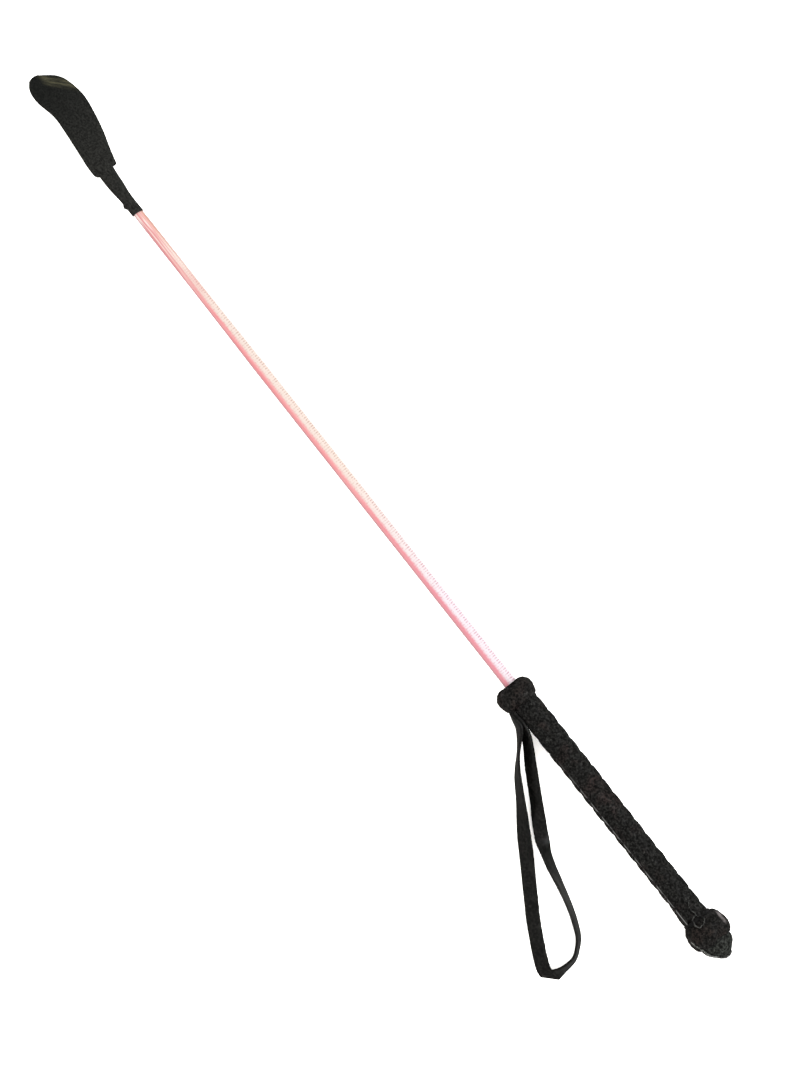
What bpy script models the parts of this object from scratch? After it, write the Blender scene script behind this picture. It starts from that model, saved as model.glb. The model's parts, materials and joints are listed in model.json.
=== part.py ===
"""Riding crop, lying on the plane z = 0 with its long axis along +X, from the butt to the tip.

The crop is built from the inside out: a tapered fibreglass rod in a woven thread sleeve, a grip of eight
plaited leather strands over a core, a lace knot at each end of the grip, a butt cap, a flat leather wrist
loop that comes out from under the upper knot, and a folded leather keeper bound to the tip.

Run it with: blender --background --python part.py
Units are metres. Lengths along the crop are measured from the butt end.
"""

import math

import bmesh
import bpy
from mathutils import Matrix, Vector

MM = 0.001
GAP = 0.3 * MM

# Overall
LENGTH = 650 * MM
LATHE_STEPS = 20

# Rod and its thread sleeve
ROD_START = 9 * MM
ROD_END = 577 * MM
ROD_BUTT_RADIUS = 3.3 * MM
ROD_TIP_RADIUS = 2.35 * MM
COVER_START = 197 * MM
COVER_END = 556 * MM
COVER_WALL = 0.45 * MM
COVER_RADII = ((COVER_START, 4.1 * MM), (235 * MM, 4.1 * MM), (435 * MM, 3.85 * MM), (464 * MM, 3.55 * MM),
               (493 * MM, 3.3 * MM), (540 * MM, 3.2 * MM), (549 * MM, 3.05 * MM), (COVER_END, 3.05 * MM))

# Grip
GRIP_CORE_START = 24 * MM
GRIP_CORE_END = 196.7 * MM
GRIP_CORE_RADIUS = 5.1 * MM
PLAIT_START = 24.5 * MM
PLAIT_END = 188.4 * MM
PLAIT_LEAD = 40.4 * MM
PLAIT_MIDDLE_RADIUS = 6.65 * MM
STRANDS_EACH_WAY = 4
STRAND_WIDTH = 6.5 * MM
STRAND_THICKNESS = 1.1 * MM
STRAND_SWAY = 0.7 * MM
STATIONS_PER_CROSSING = 3

# Knots: (start, end, radius of the lace's middle, sideways offset, angle of the first bight from +Y)
UPPER_KNOT = (188.9 * MM, 203.4 * MM, 10.4 * MM, 1.3 * MM, math.pi / 4)
POMMEL_KNOT = (13.6 * MM, 30.0 * MM, 11.7 * MM, 0.0, 0.0)
KNOT_LEADS = 3
KNOT_BIGHTS = 4
KNOT_STATIONS = 120
LACE_WIDTH = 5.0 * MM
LACE_THICKNESS = 0.95 * MM
LACE_SWAY = 0.85 * MM
KNOT_OUTER_STEP = LACE_SWAY + LACE_THICKNESS / 2

# The axis tilts by half a degree, so that the crop rests on both knots and on its keeper.
UPPER_KNOT_MIDDLE = (UPPER_KNOT[0] + UPPER_KNOT[1]) / 2
POMMEL_MIDDLE = (POMMEL_KNOT[0] + POMMEL_KNOT[1]) / 2
TILT = math.asin((POMMEL_KNOT[2] - UPPER_KNOT[2]) / (UPPER_KNOT_MIDDLE - POMMEL_MIDDLE))
MIDDLE_HEIGHT = (UPPER_KNOT[2] + KNOT_OUTER_STEP
                 - (LENGTH / 2 - UPPER_KNOT_MIDDLE) * math.sin(TILT))

# Pommel
POMMEL_CORE_END = 22.5 * MM
POMMEL_CORE_RADIUS = 9.9 * MM
POMMEL_CORE_LIP = 1 * MM
LOWER_BINDING_END = PLAIT_START + 5 * MM
LOWER_BINDING_RADIUS = 9.2 * MM
BUTT_FLAT_RADIUS = 1.8 * MM
CAP_END = 13.2 * MM
CAP_WALL = 1.2 * MM
CAP_SIDE_WALL = 0.9 * MM
CAP_PROFILE = ((0.0, BUTT_FLAT_RADIUS), (0.9 * MM, 3.3 * MM), (2.4 * MM, 4.7 * MM), (4.2 * MM, 5.9 * MM),
               (6.5 * MM, 7.5 * MM), (9 * MM, 9.0 * MM), (CAP_END, 10.1 * MM))

# Inside the upper knot
KNOT_CORE_START = PLAIT_END + 1.5 * MM
KNOT_CORE_END = UPPER_KNOT[1] - 1.2 * MM
KNOT_CORE_SHOULDER = 3 * MM
KNOT_CORE_DROP = 2.4 * MM
KNOT_CORE_CHAMFER = 1.5 * MM
KNOT_SLOT_LENGTH = 8 * MM
KNOT_SLOT_DEPTH = 8 * MM

# Wrist loop: (distance from the butt, sideways, height, roll in degrees), in millimetres. A roll of 0 lies
# flat, and 90 stands on edge. The loop swings about an upright line where it leaves the knot.
LOOP_HINGE = (186 * MM, 10.2 * MM, 11.9 * MM)
STRAP_WIDTH = 8.3 * MM
STRAP_THICKNESS = 1.6 * MM
TAIL_THICKNESS = 1.2 * MM
# From the knot down to the crease at the far end of the loop
LEG_OUT = (
    (184.6, 9.25, 11.7, 82), (180.5, 9.4, 11.9, 72), (176.0, 10.5, 11.8, 60), (172.0, 12.0, 11.2, 54),
    (166.7, 14.7, 9.9, 50), (160.5, 18.5, 8.2, 43), (154.6, 22.0, 6.9, 38), (146.0, 26.8, 5.4, 37),
    (138.0, 31.3, 4.0, 34), (131.0, 35.4, 2.8, 20), (124.0, 39.4, 1.8, 0), (118.0, 42.4, 2.4, -20),
    (112.0, 44.9, 3.7, -46), (104.0, 47.4, 4.05, -57), (96.8, 49.0, 4.2, -64), (88.0, 51.1, 4.25, -73),
    (80.0, 53.2, 4.3, -78), (71.0, 56.3, 4.3, -81), (62.0, 60.6, 4.3, -84), (56.3, 66.2, 4.3, -83),
    (53.6, 70.6, 4.25, -76), (52.9, 75.5, 4.15, -66), (52.9, 80.2, 3.95, -57), (53.3, 84.8, 2.8, -30),
)
# From the crease back to the knot
LEG_BACK = (
    (57.0, 88.2, 2.45, -24), (60.5, 87.7, 2.05, -18), (64.5, 86.1, 1.4, -8), (71.3, 82.8, 0.87, 0),
    (85.2, 75.3, 0.85, 0), (96.8, 68.1, 0.85, 0), (108.3, 60.8, 0.85, 0), (119.9, 53.5, 1.45, -8),
    (128.3, 48.4, 2.6, -24), (136.1, 43.3, 3.6, -40), (143.9, 38.3, 4.5, -56), (150.5, 34.3, 5.2, -62),
    (156.0, 30.9, 6.0, -67), (160.5, 27.6, 6.9, -75), (166.2, 22.7, 8.3, -84), (171.5, 17.9, 9.8, -82),
    (178.3, 12.3, 12.0, -69), (181.5, 11.45, 12.3, -73), (184.6, 11.25, 12.1, -82),
)
LEG_STATIONS = 44
# The two ends of the strap that stay under the upper knot, on edge: (distance from the butt, sideways)
TAIL_HEIGHT = 11.9
INNER_TAIL = ((186.8, 8.9), (188.6, 8.5), (191.5, 6.75), (196.0, 6.35))
OUTER_TAIL = ((187.1, 10.85), (188.6, 10.4), (191.5, 8.55), (196.0, 8.1))
TAIL_STATIONS = 9
TAIL_WIDTH = 7.4 * MM

# Keeper neck: (distance from the butt, half width, half height)
NECK_WALL = 0.55 * MM
NECK_SECTIONS = ((549.1 * MM, 3.95 * MM, 3.95 * MM), (560 * MM, 3.95 * MM, 3.95 * MM),
                 (565 * MM, 4.5 * MM, 4.5 * MM), (568.5 * MM, 4.95 * MM, 4.95 * MM),
                 (574 * MM, 5.2 * MM, 4.95 * MM), (579.8 * MM, 5.6 * MM, 4.95 * MM))
NECK_STEPS = 24
TONGUE_START = 559 * MM
TONGUE_END = 579.8 * MM
TONGUE_THICKNESS = 0.65 * MM
TONGUE_HALF_ANGLE = math.radians(72)
TONGUE_STEPS = 8
NECK_BINDING = (569.5 * MM, 576.5 * MM)

# Keeper flap: (distance from the butt, -Y edge, +Y edge, height of the middle, arch), in millimetres.
# It bends about a level line across its root.
KEEPER_HINGE = (581 * MM, -1.1 * MM, 8.9 * MM)
KEEPER_STATIONS = (
    (581.3, -8.9, 6.9, 8.9, 0.2), (588.5, -10.5, 6.6, 8.3, 0.7), (600.0, -14.0, 5.4, 7.3, 1.5),
    (611.6, -16.5, 4.3, 6.2, 2.2), (623.2, -17.9, 3.7, 5.0, 2.4), (634.7, -16.1, 5.9, 3.6, 1.9),
    (641.0, -13.1, 6.1, 2.5, 1.0), (645.4, -8.3, 4.9, 1.95, 0.4), (648.2, -4.4, 2.7, 1.7, 0.1),
)
LEAF_THICKNESS = 1.15 * MM
LEAF_GAP = 0.5 * MM
KEEPER_ROWS = 16
KEEPER_COLUMNS = 7
FOLD_STEPS = 4
SPLINE_STEPS = 12
BINDING_HEIGHT = 0.45 * MM


def material(name, colour, roughness, metallic=0.0):
    """A Principled BSDF with the part's colour, roughness and metallic value."""
    made = bpy.data.materials.new(name)
    made.use_nodes = True
    shader = made.node_tree.nodes["Principled BSDF"]
    shader.inputs["Base Color"].default_value = (*colour, 1.0)
    shader.inputs["Roughness"].default_value = roughness
    shader.inputs["Metallic"].default_value = metallic
    return made


def add_object(name, bm, finish, parent=None, smooth=True):
    """Turns a bmesh into a named object with one material, its faces pointing out."""
    bmesh.ops.recalc_face_normals(bm, faces=bm.faces)
    mesh = bpy.data.meshes.new(name)
    bm.to_mesh(mesh)
    bm.free()
    mesh.materials.append(finish)
    if smooth:
        mesh.shade_smooth()
        mesh.set_sharp_from_angle(angle=math.radians(40))
    made = bpy.data.objects.new(name, mesh)
    bpy.context.scene.collection.objects.link(made)
    made.parent = parent
    return made


def along(distance):
    """The x of a point at this distance from the butt end."""
    return distance - LENGTH / 2


def turned(name, profile, finish, parent, offset=0.0, closed=True, steps=LATHE_STEPS):
    """A solid of revolution about the crop's axis, or about a line set off sideways from it.

    A closed profile makes a ring or a tube. An open one starts and ends on the axis and makes a solid."""
    bm = bmesh.new()
    verts = [bm.verts.new((along(distance), radius, 0)) for distance, radius in profile]
    edges = [bm.edges.new(pair) for pair in zip(verts, verts[1:])]
    if closed:
        edges.append(bm.edges.new((verts[-1], verts[0])))
    bmesh.ops.spin(bm, geom=verts + edges, cent=(0, 0, 0), axis=(1, 0, 0), angle=math.tau, steps=steps,
                   use_merge=True)
    bmesh.ops.remove_doubles(bm, verts=bm.verts, dist=0.001 * MM)
    bmesh.ops.translate(bm, verts=bm.verts, vec=(0, offset, 0))
    return add_object(name, bm, finish, parent)


def skin(bm, rings, closed_path):
    """Bridges a row of equal vertex rings, and caps both ends unless the row is a closed path."""
    pairs = list(zip(rings, rings[1:]))
    if closed_path:
        pairs.append((rings[-1], rings[0]))
    for first, second in pairs:
        for i in range(len(first)):
            j = (i + 1) % len(first)
            bm.faces.new((first[i], first[j], second[j], second[i]))
    if not closed_path:
        bm.faces.new(rings[0])
        bm.faces.new(rings[-1])


def lens(width, thickness):
    """A section as (across, up) pairs: thin edges leave room for the strand that crosses."""
    return [(-width / 2, 0.0), (0.0, thickness / 2), (width / 2, 0.0), (0.0, -thickness / 2)]


def wound(name, centreline, section, finish, parent, closed_path, offset=0.0):
    """A flat lace wound round the axis. centreline gives (distance, angle, radius) at each station, and the
    section is laid across it on the unrolled cylinder, so the lace keeps its width and hugs the curve."""
    count = len(centreline)
    bm = bmesh.new()
    rings = []
    for i, (distance, angle, radius) in enumerate(centreline):
        before = centreline[i - 1 if closed_path else max(i - 1, 0)]
        after = centreline[(i + 1) % count if closed_path else min(i + 1, count - 1)]
        turn = (after[1] - before[1] + math.pi) % math.tau - math.pi
        run = Vector((after[0] - before[0], turn * radius)).normalized()
        ring = []
        for across, up in section:
            x = along(distance - run.y * across)
            a = angle + run.x * across / radius
            r = radius + up
            ring.append(bm.verts.new((x, r * math.cos(a) + offset, r * math.sin(a))))
        rings.append(ring)
    skin(bm, rings, closed_path)
    return add_object(name, bm, finish, parent)


def plait_strand(number, direction, finish, parent):
    """One strand of the grip: a helix that rises over and dips under the strands that cross it."""
    section = lens(STRAND_WIDTH, STRAND_THICKNESS)
    crossing = PLAIT_LEAD / (2 * STRANDS_EACH_WAY)
    pitch = crossing / STATIONS_PER_CROSSING
    first = math.ceil((PLAIT_START + STRAND_WIDTH / 2) / pitch)
    last = math.floor((PLAIT_END - STRAND_WIDTH / 2) / pitch)
    centreline = []
    for station in range(first, last + 1):
        distance = station * pitch
        angle = direction * math.tau * distance / PLAIT_LEAD + math.tau * number / STRANDS_EACH_WAY
        radius = PLAIT_MIDDLE_RADIUS + direction * STRAND_SWAY * math.cos(math.pi * distance / crossing)
        centreline.append((distance, angle, radius))
    side = "right" if direction > 0 else "left"
    return wound(f"grip_strand_{side}_{number + 1}", centreline, section, finish, parent, False)


def lace_knot(name, start, end, radius, offset, first, finish, parent):
    """A Turk's head of one lace: three leads round the crop, with its ends joined."""
    section = lens(LACE_WIDTH, LACE_THICKNESS)
    middle = (start + end) / 2
    swing = (end - start) / 2 - LACE_WIDTH / 2
    centreline = []
    for i in range(KNOT_STATIONS):
        angle = math.tau * KNOT_LEADS * i / KNOT_STATIONS
        phase = angle * KNOT_BIGHTS / KNOT_LEADS
        distance = middle + swing * math.cos(phase)
        centreline.append((distance, angle + first, radius + LACE_SWAY * math.sin(2 * phase)))
    return wound(name, centreline, section, finish, parent, True, offset)


def interpolated(rows, count):
    """Points on a smooth curve through the rows (uniform Catmull-Rom), evenly spaced along it."""
    points = [Vector(row) for row in rows]
    points = [2 * points[0] - points[1], *points, 2 * points[-1] - points[-2]]
    fine = []
    for p0, p1, p2, p3 in zip(points, points[1:], points[2:], points[3:]):
        for k in range(SPLINE_STEPS):
            t = k / SPLINE_STEPS
            fine.append(0.5 * (2 * p1 + (p2 - p0) * t + (2 * p0 - 5 * p1 + 4 * p2 - p3) * t * t
                               + (3 * p1 - p0 - 3 * p2 + p3) * t ** 3))
    fine.append(points[-2])
    lengths = [0.0]
    for a, b in zip(fine, fine[1:]):
        lengths.append(lengths[-1] + (b - a).to_3d().length)
    found = []
    k = 0
    for i in range(count):
        target = lengths[-1] * i / (count - 1)
        while k < len(lengths) - 2 and lengths[k + 1] < target:
            k += 1
        share = (target - lengths[k]) / (lengths[k + 1] - lengths[k])
        found.append(fine[k].lerp(fine[k + 1], share))
    return found


def empty(name, place):
    """A parent for a moving piece, at a point of its joint's axis given like the other places."""
    made = bpy.data.objects.new(name, None)
    bpy.context.scene.collection.objects.link(made)
    made.location = (along(place[0]), place[1], place[2])
    return made


def hang(piece, parent):
    """Gives a piece that was built in place a parent, without moving it."""
    piece.data.transform(Matrix.Translation(-parent.location))
    piece.parent = parent


def strap(name, legs, stations, width, thickness, finish):
    """A flat strap swept along its legs in turn, and rolled as they say. It is creased between two legs."""
    corners = ((-1, -1), (1, -1), (1, 1), (-1, 1))
    bm = bmesh.new()
    rings = []
    for leg in legs:
        points = interpolated(leg, stations)
        for i, point in enumerate(points):
            run = (points[min(i + 1, stations - 1)] - points[max(i - 1, 0)]).to_3d().normalized()
            side = Vector((0, 0, 1)).cross(run).normalized()
            roll = math.radians(point[3])
            across = math.cos(roll) * side + math.sin(roll) * run.cross(side)
            up = run.cross(across)
            centre = Vector((along(point[0] * MM), point[1] * MM, point[2] * MM))
            rings.append([bm.verts.new(centre + a * across * width / 2 + b * up * thickness / 2)
                          for a, b in corners])
    skin(bm, rings, False)
    return add_object(name, bm, finish)


def rod_radius(distance):
    """The rod tapers evenly from the upper knot to its tip."""
    share = max(0.0, (distance - COVER_START) / (ROD_END - COVER_START))
    return ROD_BUTT_RADIUS + (ROD_TIP_RADIUS - ROD_BUTT_RADIUS) * share


def build_shaft(axis):
    fibreglass = material("fibreglass", (0.72, 0.68, 0.55), 0.35)
    thread = material("pink_thread", (0.90, 0.42, 0.46), 0.42)
    profile = [(ROD_START, 0.0), (ROD_START, rod_radius(ROD_START)), (COVER_START, rod_radius(COVER_START)),
               (ROD_END, rod_radius(ROD_END)), (ROD_END, 0.0)]
    turned("shaft_rod", profile, fibreglass, axis, closed=False)
    inside = [(distance, radius - COVER_WALL) for distance, radius in reversed(COVER_RADII)]
    inside = [(distance, max(radius, rod_radius(distance) + GAP)) for distance, radius in inside]
    turned("shaft_thread_cover", [*COVER_RADII, *inside], thread, axis)


def build_grip(axis, leather):
    core = material("grip_core_foam", (0.20, 0.17, 0.14), 0.8)
    bore = ROD_BUTT_RADIUS + GAP
    profile = [(GRIP_CORE_START, bore), (GRIP_CORE_START, GRIP_CORE_RADIUS),
               (GRIP_CORE_END, GRIP_CORE_RADIUS), (GRIP_CORE_END, bore)]
    turned("grip_core", profile, core, axis)
    for direction in (1, -1):
        for number in range(STRANDS_EACH_WAY):
            plait_strand(number, direction, leather, axis)


def ring_of_thread(name, start, end, inner, outer, turns, finish, axis, offset=0.0):
    """A thread binding: a ring whose outside is ribbed, one rib for each turn of thread."""
    pitch = (end - start) / turns
    rib = 0.25 * pitch
    profile = [(start, inner), (start, outer - rib)]
    for turn in range(turns):
        profile.append((start + (turn + 0.5) * pitch, outer))
        profile.append((start + (turn + 1) * pitch, outer - rib))
    profile.append((end, inner))
    return turned(name, profile, finish, axis, offset)


def cutter(name, bm, target, parent):
    """Takes this shape out of the target with a Boolean. The shape itself is only a guide."""
    guide = add_object(name, bm, target.data.materials[0], parent, smooth=False)
    guide.hide_render = True
    guide.display_type = "WIRE"
    cut = target.modifiers.new(name, "BOOLEAN")
    cut.operation = "DIFFERENCE"
    cut.object = guide


def build_upper_knot(axis, leather, thread):
    start, end, radius, offset, first = UPPER_KNOT
    lace_knot("upper_knot_lace", start, end, radius, offset, first, leather, axis)
    outer = radius - KNOT_OUTER_STEP - GAP
    profile = [(KNOT_CORE_START, 0.0), (KNOT_CORE_START, outer - KNOT_CORE_CHAMFER / 2),
               (KNOT_CORE_START + KNOT_CORE_CHAMFER, outer), (KNOT_CORE_END - KNOT_CORE_SHOULDER, outer),
               (KNOT_CORE_END, outer - KNOT_CORE_DROP), (KNOT_CORE_END, 0.0)]
    core = turned("upper_knot_core", profile, material("knot_core", (0.25, 0.2, 0.15), 0.8), axis, offset,
                  closed=False)
    bore = GRIP_CORE_RADIUS + GAP
    bm = bmesh.new()
    bmesh.ops.create_cone(bm, cap_ends=True, segments=LATHE_STEPS, radius1=bore, radius2=bore,
                          depth=2 * (end - start))
    place = Matrix.Translation((along((start + end) / 2), 0, 0)) @ Matrix.Rotation(math.pi / 2, 4, "Y")
    bmesh.ops.transform(bm, verts=bm.verts, matrix=place)
    cutter("knot_bore_cutter", bm, core, axis)
    # The strap's ends lie in a slot on the loop's side of the core, open towards the grip.
    slot_middle = (along(KNOT_CORE_START + KNOT_SLOT_LENGTH / 2 - KNOT_CORE_CHAMFER),
                   bore + GAP / 2 + KNOT_SLOT_DEPTH / 2, 0)
    slot_size = (KNOT_SLOT_LENGTH, KNOT_SLOT_DEPTH, TAIL_WIDTH + 3 * GAP, 1)
    bm = bmesh.new()
    bmesh.ops.create_cube(bm, size=1.0)
    place = Matrix.Translation(slot_middle) @ Matrix.Diagonal(slot_size)
    bmesh.ops.transform(bm, verts=bm.verts, matrix=place)
    cutter("knot_slot_cutter", bm, core, axis)
    ring_of_thread("upper_binding", GRIP_CORE_END + GAP, KNOT_CORE_END, COVER_RADII[0][1] + GAP, bore - GAP,
                   5, thread, axis)


def build_pommel(axis, leather, thread):
    start, end, radius, offset, first = POMMEL_KNOT
    lace_knot("pommel_knot_lace", start, end, radius, offset, first, leather, axis)
    inside = [(distance + CAP_WALL, size - CAP_SIDE_WALL) for distance, size in CAP_PROFILE[:-1]]
    inside.append((CAP_END, CAP_PROFILE[-1][1] - CAP_SIDE_WALL))
    turned("butt_cap", [(0.0, 0.0), *CAP_PROFILE, *reversed(inside), (CAP_WALL, 0.0)], leather, axis,
           closed=False)
    dome = [(distance + GAP, size - GAP) for distance, size in inside[:-1]]
    bore = ROD_BUTT_RADIUS + GAP
    floor = ROD_START - GAP
    profile = [(inside[0][0] + GAP, 0.0), *dome, (CAP_END, POMMEL_CORE_RADIUS - POMMEL_CORE_LIP),
               (CAP_END + POMMEL_CORE_LIP, POMMEL_CORE_RADIUS), (POMMEL_CORE_END, POMMEL_CORE_RADIUS),
               (POMMEL_CORE_END, bore), (floor, bore), (floor, 0.0)]
    turned("pommel_core", profile, material("pommel_wood", (0.45, 0.3, 0.17), 0.6), axis, closed=False)
    strand_outer = PLAIT_MIDDLE_RADIUS + STRAND_SWAY + STRAND_THICKNESS / 2
    ring_of_thread("lower_binding", PLAIT_START, LOWER_BINDING_END, strand_outer + GAP,
                   LOWER_BINDING_RADIUS, 6, thread, axis)


def half_shell(name, start, end, inner, thickness, upward, finish, parent):
    """One tongue of the keeper, curved round the top or the underside of the rod."""
    steps = TONGUE_STEPS
    bm = bmesh.new()
    rings = []
    for distance in (start, end):
        angles = [upward * math.pi / 2 + TONGUE_HALF_ANGLE * (2 * i / steps - 1) for i in range(steps + 1)]
        outline = [(inner + thickness, a) for a in angles] + [(inner, a) for a in reversed(angles)]
        rings.append([bm.verts.new((along(distance), r * math.cos(a), r * math.sin(a))) for r, a in outline])
    skin(bm, rings, False)
    return add_object(name, bm, finish, parent)


def build_neck(axis, leather, thread):
    """The leather sleeve round the rod's tip, and the tongues and thread that it hides."""
    bm = bmesh.new()
    outer, inner = [], []
    turns = [math.tau * i / NECK_STEPS for i in range(NECK_STEPS)]
    for distance, width, height in NECK_SECTIONS:
        for ring, less in ((outer, 0.0), (inner, NECK_WALL)):
            ring.append([bm.verts.new((along(distance), (width - less) * math.cos(turn),
                                       (height - less) * math.sin(turn))) for turn in turns])
    skin(bm, [*outer, *reversed(inner)], True)
    add_object("keeper_neck_sleeve", bm, leather, axis)
    inner_radius = rod_radius(TONGUE_START) + GAP
    for name, upward in (("keeper_tongue_upper", 1), ("keeper_tongue_lower", -1)):
        half_shell(name, TONGUE_START, TONGUE_END, inner_radius, TONGUE_THICKNESS, upward, leather, axis)
    binding_inner = inner_radius + TONGUE_THICKNESS + GAP
    ring_of_thread("neck_binding", *NECK_BINDING, binding_inner, binding_inner + BINDING_HEIGHT, 8, thread,
                   axis)


def keeper_point(row, share, level):
    """A point of the keeper: share runs from -1 to 1 across it, and level is the height over its middle."""
    near, far = row[1] * MM, row[2] * MM
    y = (near + far) / 2 + share * (far - near) / 2
    z = row[3] * MM - row[4] * MM * share * share + level
    return Vector((along(row[0] * MM), y, z))


def build_keeper(leather):
    """One leather strip folded at the tip: an upper leaf, a round fold and a lower leaf, as one solid."""
    rows = interpolated(KEEPER_STATIONS, KEEPER_ROWS)
    shares = [2 * i / (KEEPER_COLUMNS - 1) - 1 for i in range(KEEPER_COLUMNS)]
    outside = LEAF_GAP / 2 + LEAF_THICKNESS
    bm = bmesh.new()

    def sheet(step):
        """The strip's vertices at this distance from its middle layer, along the top, the fold and back."""
        levels = [[bm.verts.new(keeper_point(row, s, step)) for s in shares] for row in rows]
        for k in range(1, FOLD_STEPS):
            turn = math.pi * k / FOLD_STEPS
            ahead = Vector((step * math.sin(turn), 0, 0))
            height = step * math.cos(turn)
            levels.append([bm.verts.new(keeper_point(rows[-1], s, height) + ahead) for s in shares])
        levels += [[bm.verts.new(keeper_point(row, s, -step)) for s in shares] for row in reversed(rows)]
        return levels

    outer, inner = sheet(outside), sheet(LEAF_GAP / 2)
    rings = [[*a, *reversed(b)] for a, b in zip(outer, inner)]
    skin(bm, rings, False)
    return add_object("keeper_flap", bm, leather)


def main():
    for found in list(bpy.data.objects):
        bpy.data.objects.remove(found)
    axis = empty("crop_axis", (LENGTH / 2, 0, MIDDLE_HEIGHT))
    axis.rotation_euler = (0, TILT, 0)
    leather = material("black_leather", (0.014, 0.014, 0.013), 0.5)
    suede = material("keeper_leather", (0.024, 0.024, 0.023), 0.85)
    thread = material("black_thread", (0.01, 0.01, 0.01), 0.6)
    build_shaft(axis)
    build_grip(axis, leather)
    build_upper_knot(axis, leather, thread)
    build_pommel(axis, leather, thread)
    build_neck(axis, suede, thread)
    for name, tail in (("strap_tail_inner", INNER_TAIL), ("strap_tail_outer", OUTER_TAIL)):
        route = [(distance, sideways, TAIL_HEIGHT, 90) for distance, sideways in tail]
        strap(name, [route], TAIL_STATIONS, TAIL_WIDTH, TAIL_THICKNESS, leather)
    legs = [LEG_OUT, LEG_BACK]
    loop = strap("wrist_loop_strap", legs, LEG_STATIONS, STRAP_WIDTH, STRAP_THICKNESS, leather)
    hang(loop, empty("wrist_loop_hinge", LOOP_HINGE))
    hang(build_keeper(suede), empty("keeper_hinge", KEEPER_HINGE))


main()
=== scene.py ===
"""Looks of the riding crop: plaited grip, lace knots, butt cap, wrist loop, woven pink shaft and keeper.

Lengths along the crop are measured from its butt end. Sizes are in metres unless a name or comment says so.
Angles round the crop start at +Y and turn through +Z, so the top of the crop is at 90 degrees.
"""

import json
import math

import bmesh
import bpy
import numpy as np
from mathutils import Matrix, Vector, noise


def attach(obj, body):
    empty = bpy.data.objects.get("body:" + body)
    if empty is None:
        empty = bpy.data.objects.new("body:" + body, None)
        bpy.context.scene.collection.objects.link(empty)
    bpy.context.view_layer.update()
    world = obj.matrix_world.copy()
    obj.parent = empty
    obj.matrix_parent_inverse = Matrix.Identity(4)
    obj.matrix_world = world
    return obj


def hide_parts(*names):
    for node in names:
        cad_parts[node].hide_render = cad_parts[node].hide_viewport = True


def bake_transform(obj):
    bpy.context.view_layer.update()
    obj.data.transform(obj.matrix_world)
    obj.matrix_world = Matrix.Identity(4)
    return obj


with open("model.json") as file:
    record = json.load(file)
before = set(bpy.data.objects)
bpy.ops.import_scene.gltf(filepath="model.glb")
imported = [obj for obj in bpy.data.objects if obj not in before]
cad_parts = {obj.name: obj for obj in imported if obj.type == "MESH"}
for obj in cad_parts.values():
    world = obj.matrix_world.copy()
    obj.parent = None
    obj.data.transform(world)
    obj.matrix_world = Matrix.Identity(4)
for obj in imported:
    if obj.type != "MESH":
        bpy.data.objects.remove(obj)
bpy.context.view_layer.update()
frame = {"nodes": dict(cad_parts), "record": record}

MM = 0.001
LENGTH = 650 * MM
TOP = math.pi / 2

# The crop's axis runs from the middle of the butt's flat face towards the keeper.
BUTT = frame["record"]["mounts"][0]
BUTT_POINT = Vector(BUTT["pos_m"])
AXIS = -Vector(BUTT["axis"])
SIDEWAYS = Vector((0, 1, 0))
UPWARD = AXIS.cross(SIDEWAYS)
SPLINE_STEPS = 24
UV_PER_METRE = 100

# The moving bodies
CROP = "crop"


def at(distance, angle=0.0, radius=0.0, offset=0.0):
    """The point at this distance from the butt, and this far out from the axis, shifted sideways by offset."""
    out = SIDEWAYS * (math.cos(angle) * radius + offset) + UPWARD * math.sin(angle) * radius
    return BUTT_POINT + AXIS * distance + out


def in_place(distance, sideways, height):
    """A point in millimetres, as the strap's and the keeper's are: along, sideways and above the surface."""
    return Vector((distance * MM - LENGTH / 2, sideways * MM, height * MM))


def spline(rows, count):
    """Rows on a smooth curve through the given ones (Catmull-Rom), evenly spaced by their first three values."""
    points = np.array([list(row) for row in rows], dtype=float)
    points = np.vstack([2 * points[0] - points[1], points, 2 * points[-1] - points[-2]])
    steps = np.linspace(0, 1, SPLINE_STEPS, endpoint=False)[:, None]
    fine = []
    for p0, p1, p2, p3 in zip(points, points[1:], points[2:], points[3:]):
        fine.append(0.5 * (2 * p1 + (p2 - p0) * steps + (2 * p0 - 5 * p1 + 4 * p2 - p3) * steps ** 2
                           + (3 * p1 - p0 - 3 * p2 + p3) * steps ** 3))
    fine = np.vstack([*fine, points[-2]])
    travelled = np.concatenate([[0], np.cumsum(np.linalg.norm(np.diff(fine[:, :3], axis=0), axis=1))])
    wanted = np.linspace(0, travelled[-1], count)
    return np.stack([np.interp(wanted, travelled, column) for column in fine.T], axis=1)


def heading(path, i):
    """The direction in which a row of points runs at one of them."""
    return (path[min(i + 1, len(path) - 1)] - path[max(i - 1, 0)]).normalized()


def uneven(point, middle, most, scale):
    """The point, moved away from the middle or towards it by up to this much."""
    return point + (point - middle).normalized() * most * noise.noise(point * scale)


# ---------------------------------------- meshes


def rounded_section(width, thickness, crown, power, count):
    """A flat lace's section as (across, up) pairs: an oblong with a crown. A lower power makes it squarer."""
    pairs = []
    for i in range(count):
        turn = math.tau * (i + 0.5) / count
        across = math.copysign(abs(math.cos(turn)) ** power, math.cos(turn))
        up = math.copysign(abs(math.sin(turn)) ** power, math.sin(turn))
        lift = crown * (1 - across * across) if up > 0 else 0
        pairs.append((across * width / 2, up * thickness / 2 + lift))
    return pairs


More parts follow.
